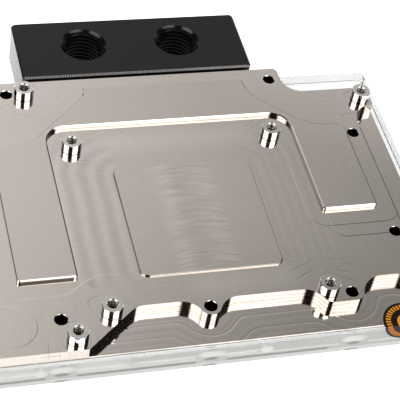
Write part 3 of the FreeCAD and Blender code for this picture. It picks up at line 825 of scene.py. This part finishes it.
# %% Behind the front face
cover_low, cover_high = (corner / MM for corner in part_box("clear_cover"))
SINK_MM = 3.8
SINK_SHIFT_MM = -1.1
SINK_ROW_MM = 12.0
SEAL_END_MM = 28.0
SEAL_HIGH_MM = 2.40
HATCH_MM = 0.9
PIN_PLACES_MM = (-48.0, 11.1)

# Painted grey shade spots at a screw sink: height of the middle, half width, half height, darkness
SINK_SPOTS = ((6.9, 1.4, 0.6, 0.30), (3.4, 2.2, 0.8, 0.75), (0.7, 2.4, 0.45, 0.70))


def blot(f, across, z, middle_z, half_width, half_height):
    """Soft oval spot: 1 at its middle, 0 past sqrt((a / w)^2 + ((z - z0) / h)^2) = 1."""
    tall = f.math("DIVIDE", f.minus(z, middle_z), half_height)
    out = f.vector("LENGTH", f.join(f.math("DIVIDE", across, half_width), tall, 0.0))
    return f.fall(out, 0.6, 1.2)


def behind_front(f, x, z):
    """Painted light and shade for what a slanting look through the front face shows, as (light,
    dark): the seal as a dark line over a pale foot, and at every screw a pale oval between grey spots."""
    across = FAR_MM
    for spot in screw_places:
        if spot.y < cover_low.y + SINK_ROW_MM:
            across = f.least(across, f.away(x, spot.x + SINK_SHIFT_MM))
    past_sink = f.step(across, SINK_MM, SINK_MM + 0.5)
    hatch = f.wave(f.add(x, f.times(z, 2.0)), HATCH_MM)
    seal = f.times(f.bell(z, SEAL_HIGH_MM, 0.45), f.add(0.85, f.times(hatch, 0.15)),
                   f.fall(x, SEAL_END_MM - 1.0, SEAL_END_MM), past_sink)
    dark = f.most(seal, f.times(f.bell(across, SINK_MM + 0.3, 0.2), 0.18))
    for middle_z, half_width, half_height, level in SINK_SPOTS:
        dark = f.most(dark, f.times(blot(f, across, z, middle_z, half_width, half_height), level))
    light = f.most(f.times(f.bell(z, 3.6, 0.3), past_sink), blot(f, across, z, 5.2, 3.6, 1.4),
                   f.fall(z, 1.7, 2.1, 0.7))
    for pin_x in PIN_PLACES_MM:
        pin = blot(f, f.minus(x, pin_x + SINK_SHIFT_MM + 0.3), z, 4.6, 1.9, 1.5)
        light = f.most(light, f.times(pin, 1.2))
    return light, dark


print("front face:", len(SINK_SPOTS), "spots at a sink,", len(PIN_PLACES_MM), "pins")

# %% Acrylic
ACRYLIC_TINTS = ((0.925, 0.94, 0.93), (0.98, 0.99, 0.985))
MILLED_TINT = (0.88, 0.88, 0.88)
FRONT_TINT = (1.0, 0.98, 0.955)
# Dark colour of the painted seal line and shade spots on the front face
THROUGH_SHADE_TINT = (0.12, 0.13, 0.15)
MOST_CLEAR = 0.97


def milled_rim(f, x, y):
    """1 near the four outer edges of the cover, where the cutter left its faces frosted."""
    edges = f.add(f.fall(x, cover_low.x + 2.5, cover_low.x + 4.0),
                  f.step(x, cover_high.x - 4.5, cover_high.x - 3.0),
                  f.fall(y, cover_low.y + 1.0, cover_low.y + 2.0),
                  f.step(y, cover_high.y - 10.0, cover_high.y - 9.0))
    return f.least(edges, 1.0)


def clear_acrylic():
    """Clear plastic that transmits less where it is hazy: at the milled rim, in the screws' sinks and
    most of all at the front, where the haze also carries painted light and shade. Under the plate
    it is wet nickel."""
    f = Finish("clear_acrylic")
    place, x, y, z = f.here()
    upward = f.parts(f.node("NewGeometry").outputs["True Normal"])[2]
    lean = f.away(upward)
    side = f.fall(lean, 0.4, 0.9)
    rim = milled_rim(f, x, y)
    above_foot = f.step(upward, -0.9, -0.5)
    at_top = f.step(z, cover_high.z - 0.02, cover_high.z - 0.01)
    under_plate = f.times(at_top, f.step(lean, 0.5, 0.9), f.rest(rim))
    front = f.times(side, f.fall(y, cover_low.y + 0.1, cover_low.y + 0.3))
    light, dark = behind_front(f, x, z)

    # At the front, painted light and shade raise the haze, so that their colour shows
    front_haze_and_paint = f.times(front, f.add(0.48, f.times(light, 0.30), f.times(dark, 0.42)))
    rim_haze = f.times(rim, above_foot, f.add(0.04, f.times(side, 0.10), front_haze_and_paint))
    from_screw = nearest_of(f, f.join(x, y, 0.0), screw_places)
    sink_haze = f.times(f.fall(from_screw, SINK_MM + 0.05, SINK_MM + 0.15, 0.45), above_foot)
    clear = f.most(f.minus(MOST_CLEAR, f.most(rim_haze, sink_haze)), 0.0)

    cutter = f.noise(f.join(f.times(f.add(x, y), 0.12), 0.0, f.times(z, 1.3)))
    tint = f.mix(f.noise(place, 0.22), *ACRYLIC_TINTS)
    # The front face is darkened by the painted seal line and shade spots
    face_tint = f.mix(f.times(front, dark), f.mix(front, MILLED_TINT, FRONT_TINT), THROUGH_SHADE_TINT)
    tint = f.vector("MULTIPLY", tint, face_tint)
    f.set(Base_Color=f.mix(under_plate, tint, wet_tint(f, y)), Metallic=under_plate, IOR=1.49,
          Roughness=f.most(f.step(cutter, 0.3, 0.7, 0.01, 0.05), f.times(under_plate, WET_ROUGHNESS)),
          Transmission_Weight=clear, Normal=f.bump(f.times(cutter, 0.006)))
    return f.material


finishes["clear_acrylic"] = clear_acrylic()
print("acrylic ready")

# %% [markdown]
# ## Black acetal
# The port block is milled from black acetal, a waxy plastic. Its faces have a low sheen
# with fine straight cutter lines along the block, and the bevelled edges are crossed by
# small chatter marks, whose glints are painted on as light dots. The marks could be cut as
# real grooves, but they are so shallow that a bump shows as much.

# %% Acetal
block_low, block_high = (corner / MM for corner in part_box("terminal_block"))
CHATTER_MM = 0.72
ACETAL_TINTS = ((0.0035, 0.0034, 0.0036), (0.0065, 0.006, 0.0062))
CHATTER_GLINT_TINT = (0.30, 0.285, 0.275)


def black_acetal(name, gloss):
    """Acetal with a gloss of its own: faces deep in a bore are rougher cut and shine less. The
    chatter marks are a sine along the front upper edge, and painted glints light them as dots,
    stronger to the right."""
    f = Finish(name)
    place, x, y, z = f.here()
    lines = f.noise(f.vector("MULTIPLY", place, (0.05, 1.1, 1.1)), detail=3.0)
    grain = f.noise(place, 1.6)
    on_edge = f.times(f.fall(y, block_low.y + 0.47, block_low.y + 0.6),
                      f.step(z, block_high.z - 0.6, block_high.z - 0.44))
    chatter = f.wave(x, CHATTER_MM)
    height = f.add(f.times(lines, 0.006), f.times(grain, 0.003), f.times(chatter, on_edge, 0.03))
    tone = f.noise(f.vector("MULTIPLY", place, (0.1, 0.3, 0.3)))
    # Painted highlight: light dots on the chatter marks of the edge, more to the right
    dots = f.add(f.step(chatter, -0.4, 0.8, 0.25, 1.0), f.step(x, 5.0, 20.0, 0.0, 0.35))
    painted_glints = f.least(f.times(on_edge, dots), 1.0)
    f.set(Base_Color=f.mix(painted_glints, f.mix(tone, *ACETAL_TINTS), CHATTER_GLINT_TINT), Normal=f.bump(height),
          Roughness=f.step(grain, 0.3, 0.7, 0.14, 0.22), IOR=1.5, Specular_IOR_Level=gloss)
    return f.material


finishes["black_acetal"] = black_acetal("black_acetal", 0.37)
finishes["bored_acetal"] = black_acetal("bored_acetal", 0.11)
print("acetal ready")

# %% [markdown]
# ## Rubber and steel
# The seals are black rubber with a dull skin. The jet plate is brushed stainless steel, and
# the screws are turned from it. One even colour would look like plastic, so noise changes
# the tone and the gloss. More isn't needed, because little of them shows.

# %% Rubber and steel


def seal_rubber():
    """Black rubber, its skin a fine noise in tone, gloss and height."""
    f = Finish("seal_rubber")
    place = f.here()[0]
    skin = f.noise(place, 3.0, detail=3.0)
    f.set(Base_Color=f.mix(skin, (0.010, 0.010, 0.010), (0.022, 0.021, 0.020)),
          Roughness=f.step(skin, 0.3, 0.7, 0.5, 0.7), Normal=f.bump(f.times(skin, 0.01)))
    return f.material


def brushed_steel(name, stretch, shade_above=1000.0):
    """Steel with scratches drawn out along the axes of small stretch. Screw ends above a height
    lie deep in their holes and get painted shade."""
    f = Finish(name)
    place, _, _, z = f.here()
    scratches = f.noise(f.vector("MULTIPLY", place, stretch), detail=3.0)
    steel = f.mix(scratches, (0.50, 0.49, 0.47), (0.64, 0.63, 0.61))
    # Painted shade on the screw ends deep in their holes
    shaded_tip = f.step(z, shade_above, shade_above + 0.3)
    f.set(Base_Color=f.mix(shaded_tip, steel, (0.006, 0.005, 0.005)), Metallic=1.0,
          Roughness=f.step(scratches, 0.3, 0.7, 0.22, 0.36), Normal=f.bump(f.times(scratches, 0.004)))
    return f.material


finishes["seal_rubber"] = seal_rubber()
finishes["jet_steel"] = brushed_steel("jet_steel", (0.3, 6.0, 6.0))
finishes["screw_steel"] = brushed_steel("screw_steel", (0.6, 0.6, 5.0), shade_above=8.6)
print("rubber and steel ready")

# %% [markdown]
# ## Threads in the port block
# The ports take G1/4 fittings: 1.337 mm from turn to turn. A thread is a helix, and a helix
# is easy to write: the angle grows evenly, and the height with it. Four points of a flat-topped
# V are carried along it and joined up as one closed cutter, which a Boolean then takes out of
# a copy of the block. The copy stands for the plain block, and the bore stays where it was.

# %% Port threads
THREAD_PITCH_MM = 1.337
THREAD_TURNS = 12
THREAD_STEPS = 96
THREAD_PROFILE_MM = ((5.60, -0.60), (6.50, -0.10), (6.50, 0.10), (5.60, 0.60))
THREAD_START_MM = -1.5
PORT_PLACES_MM = ((-18.0, 70.9), (10.8, 70.9))
PORT_BEVEL_MM = 0.7
FLAT_PLACE = "flat_place"


def mesh_from(name, points, faces, merge_mm=0.001, flat=None):
    """Mesh of points in millimetres and faces, with doubles merged and normals made to face
    out. A sheet's places before it was folded can be kept with its points."""
    mesh = bpy.data.meshes.new(name)
    mesh.from_pydata(points.reshape(-1, 3) * MM, [], faces)
    if flat is not None:
        mesh.attributes.new(FLAT_PLACE, "FLOAT_VECTOR", "POINT").data.foreach_set("vector", flat.ravel())
    made = bmesh.new()
    made.from_mesh(mesh)
    bmesh.ops.remove_doubles(made, verts=made.verts, dist=merge_mm * MM)
    bmesh.ops.recalc_face_normals(made, faces=made.faces)
    made.to_mesh(mesh)
    made.free()
    return mesh


def grid_faces(rows, columns, wrap):
    """Four-cornered faces between neighbours of a grid. With wrap, the last column meets the first."""
    last = columns if wrap else columns - 1
    row, column = np.meshgrid(np.arange(rows - 1), np.arange(last), indexing="ij")
    ahead = (column + 1) % columns
    here = row * columns
    return np.stack([here + column, here + ahead, here + columns + ahead, here + columns + column],
                    axis=-1).reshape(-1, 4)


def thread_cutter(place):
    """Closed helix: point j of the profile at (r, dz) stands at angle t and height
    z = start + pitch * t / (2 pi) + dz, for t over all the turns. Both ends are capped."""
    turn = np.linspace(0, 2 * np.pi * THREAD_TURNS, THREAD_TURNS * THREAD_STEPS + 1)[:, None]
    radius, rise = np.array(THREAD_PROFILE_MM).T
    points = np.stack([place[0] + radius * np.cos(turn), place[1] + radius * np.sin(turn),
                       THREAD_START_MM + THREAD_PITCH_MM * turn / (2 * np.pi) + rise], axis=-1)
    rows, columns = points.shape[:2]
    faces = grid_faces(rows, columns, wrap=True)
    caps = np.array([[0, 1, 2, 3], [(rows - 1) * columns + i for i in (3, 2, 1, 0)]])
    return placed("thread_cutter", mesh_from("thread_cutter", points, np.vstack([faces, caps]).tolist()))


def baked(holder):
    """The mesh of an object with its modifiers applied."""
    bpy.context.view_layer.update()
    return bpy.data.meshes.new_from_object(holder.evaluated_get(bpy.context.evaluated_depsgraph_get()))


def in_a_bore(mesh):
    """True for each face whose middle lies within a port's thread, below its bevel."""
    middles = np.empty(len(mesh.polygons) * 3)
    mesh.polygons.foreach_get("center", middles)
    middles = middles.reshape(-1, 1, 3) / MM
    away = np.hypot(*np.moveaxis(middles[..., :2] - np.array(PORT_PLACES_MM), -1, 0))
    in_thread = away.min(axis=1) < THREAD_PROFILE_MM[1][0] + 0.1
    return in_thread & (middles[:, 0, 2] < block_high.z - PORT_BEVEL_MM)


def threaded_block():
    """Merged copy of the port block with a thread cut into both ports. The copy takes over only
    points and faces, since the normals kept with the original would spoil the cut faces."""
    original = nodes["terminal_block"].data
    points = np.empty(len(original.vertices) * 3)
    original.vertices.foreach_get("co", points)
    faces = [list(face.vertices) for face in original.polygons]
    block = placed("threaded_block", mesh_from("threaded_block", points / MM, faces))
    cutters = [thread_cutter(place) for place in PORT_PLACES_MM]
    for cutter in cutters:
        cut = block.modifiers.new("thread", "BOOLEAN")
        cut.operation = "DIFFERENCE"
        cut.solver = "EXACT"
        cut.object = cutter
    block.data = baked(block)
    block.modifiers.clear()
    for cutter in cutters:
        bpy.data.objects.remove(cutter)
    block.data.materials.clear()
    for finish in ("black_acetal", "bored_acetal"):
        block.data.materials.append(finishes[finish])
    block.data.polygons.foreach_set("material_index", in_a_bore(block.data).astype(np.int32))
    block.data.shade_smooth()
    block.data.set_sharp_from_angle(angle=math.radians(28))
    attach(block, "root")
    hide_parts("terminal_block")
    return block


port_block = threaded_block()
print("port block:", len(port_block.data.polygons), "faces after cutting", len(PORT_PLACES_MM), "threads")

# %% [markdown]
# ## The round label
# A round paper label is folded over the front edge, half on the shelf and half down the
# cover. Flat, it is a disc. The fold is a quarter of a small circle, so a point at the
# distance s from the fold goes along the shelf, round the bend or down the front. The place
# on the flat disc is kept with every point, and the print is drawn from it: a black ground,
# a ring of short strokes and a round spot, all made of steps and sines.

# %% Label
LABEL_RADIUS_MM = 6.4
LABEL_MIDDLE_MM = 0.9
LABEL_BEND_MM = 0.30
LABEL_PAPER_MM = 0.10
LABEL_ROWS = 44
LABEL_COLUMNS = 40
LABEL_LIFT_MM = 0.01
LABEL_STROKES = 36
LABEL_GROUNDS = ((0.004, 0.0035, 0.0035), (0.010, 0.009, 0.0085))
LABEL_ORANGES = ((0.90, 0.27, 0.012), (1.0, 0.38, 0.020))


def label_sheet(inward):
    """Grid of a disc folded over an edge, moved inwards by some of its thickness. Row angle t
    gives s = middle - R cos t and a half width R sin t; over the bend the path turns by
    (h - s) / bend, held between 0 and a quarter turn, with h half the length of the bend."""
    low, high = (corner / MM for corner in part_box("round_label"))
    half_bend = LABEL_BEND_MM * np.pi / 4
    in_bend = np.arccos((LABEL_MIDDLE_MM - np.linspace(-half_bend, half_bend, 9)) / LABEL_RADIUS_MM)
    t = np.sort(np.concatenate([np.linspace(0, np.pi, LABEL_ROWS), in_bend]))[:, None]
    s = LABEL_MIDDLE_MM - LABEL_RADIUS_MM * np.cos(t)
    across = LABEL_RADIUS_MM * np.sin(t) * np.linspace(-1, 1, LABEL_COLUMNS)
    turn = np.clip((half_bend - s) / LABEL_BEND_MM, 0, np.pi / 2)
    reach = LABEL_BEND_MM - inward
    y = low.y + LABEL_BEND_MM - reach * np.sin(turn) + np.maximum(s - half_bend, 0)
    top = SHELF_MM + LABEL_PAPER_MM + LABEL_LIFT_MM
    z = top - LABEL_BEND_MM + reach * np.cos(turn) - np.maximum(-half_bend - s, 0)
    x = (low.x + high.x) / 2 + across
    points = np.stack(np.broadcast_arrays(x, y, z), axis=-1)
    flat = np.stack(np.broadcast_arrays(across, s - LABEL_MIDDLE_MM, np.full_like(across, inward)), axis=-1)
    return points, flat


def label_print():
    """Black paper with an orange ring of strokes and an orange spot, under a thin gloss."""
    f = Finish("label_print")
    spot = f.node("Attribute", attribute_name=FLAT_PLACE).outputs["Vector"]
    a, b, _ = f.parts(spot)
    out = f.vector("LENGTH", f.join(a, b, 0.0))
    angle = f.math("ARCTAN2", b, a)
    strokes = f.step(f.math("SINE", f.times(angle, LABEL_STROKES)), -0.35, -0.05)
    in_ring = f.window(out, 4.25, 4.35, 5.65, 5.75)
    in_spot = f.window(out, 0.95, 1.05, 2.55, 2.65)
    ink = f.most(f.times(strokes, in_ring), in_spot)
    grain = f.noise(spot, 2.2, detail=3.0)
    f.set(Base_Color=f.mix(ink, f.mix(grain, *LABEL_GROUNDS), f.mix(grain, *LABEL_ORANGES)), IOR=1.45,
          Roughness=f.step(grain, 0.3, 0.7, 0.32, 0.45), Specular_IOR_Level=0.18,
          Normal=f.bump(f.times(grain, 0.004)))
    return f.material


def make_label():
    """Two sheets a paper's thickness apart, joined round their rim."""
    outer, outer_flat = label_sheet(0.0)
    inner, inner_flat = label_sheet(LABEL_PAPER_MM)
    rows, columns = outer.shape[:2]
    count = rows * columns
    sheet = grid_faces(rows, columns, wrap=False)
    left = np.arange(rows) * columns
    right = left + columns - 1
    rim = [np.stack([side[:-1], side[1:], side[1:] + count, side[:-1] + count], axis=-1)
           for side in (left, right)]
    faces = np.vstack([sheet, sheet[:, ::-1] + count, *rim]).tolist()
    mesh = mesh_from("folded_label", np.stack([outer, inner]), faces, merge_mm=0.0001,
                     flat=np.stack([outer_flat, inner_flat]))
    mesh.shade_smooth()
    mesh.set_sharp_from_angle(angle=math.radians(50))
    mesh.materials.append(label_print())
    label = placed("folded_label", mesh)
    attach(label, "root")
    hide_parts("round_label")
    return label


label = make_label()
print("label:", len(label.data.polygons), "faces")

# %% [markdown]
# ## Give every solid its finish
# A solid keeps its mesh, and only its material slot changes. The beginning of its name
# says which finish it gets. The plain block and the plain label are hidden by their better
# copies, so any finish will do for them.

# %% Dress the solids
FINISH_OF = {
    "base_plate": "nickel_plate",
    "clear_cover": "clear_acrylic",
    "main_gasket": "seal_rubber",
    "jet_plate": "jet_steel",
    "terminal_block": "black_acetal",
    "outlet_seal": "seal_rubber",
    "inlet_seal": "seal_rubber",
    "terminal_screw": "screw_steel",
    "cover_screw": "screw_steel",
    "standoff": "turned_nickel",
    "round_label": "black_acetal",
}


def dress(node, material):
    """Puts one material in every slot of a solid."""
    if not node.material_slots:
        node.data.materials.append(material)
    for slot in node.material_slots:
        slot.material = material


for name, node in nodes.items():
    kind = next(start for start in FINISH_OF if name.startswith(start))
    dress(node, finishes[FINISH_OF[kind]])
print("dressed", len(nodes), "solids")
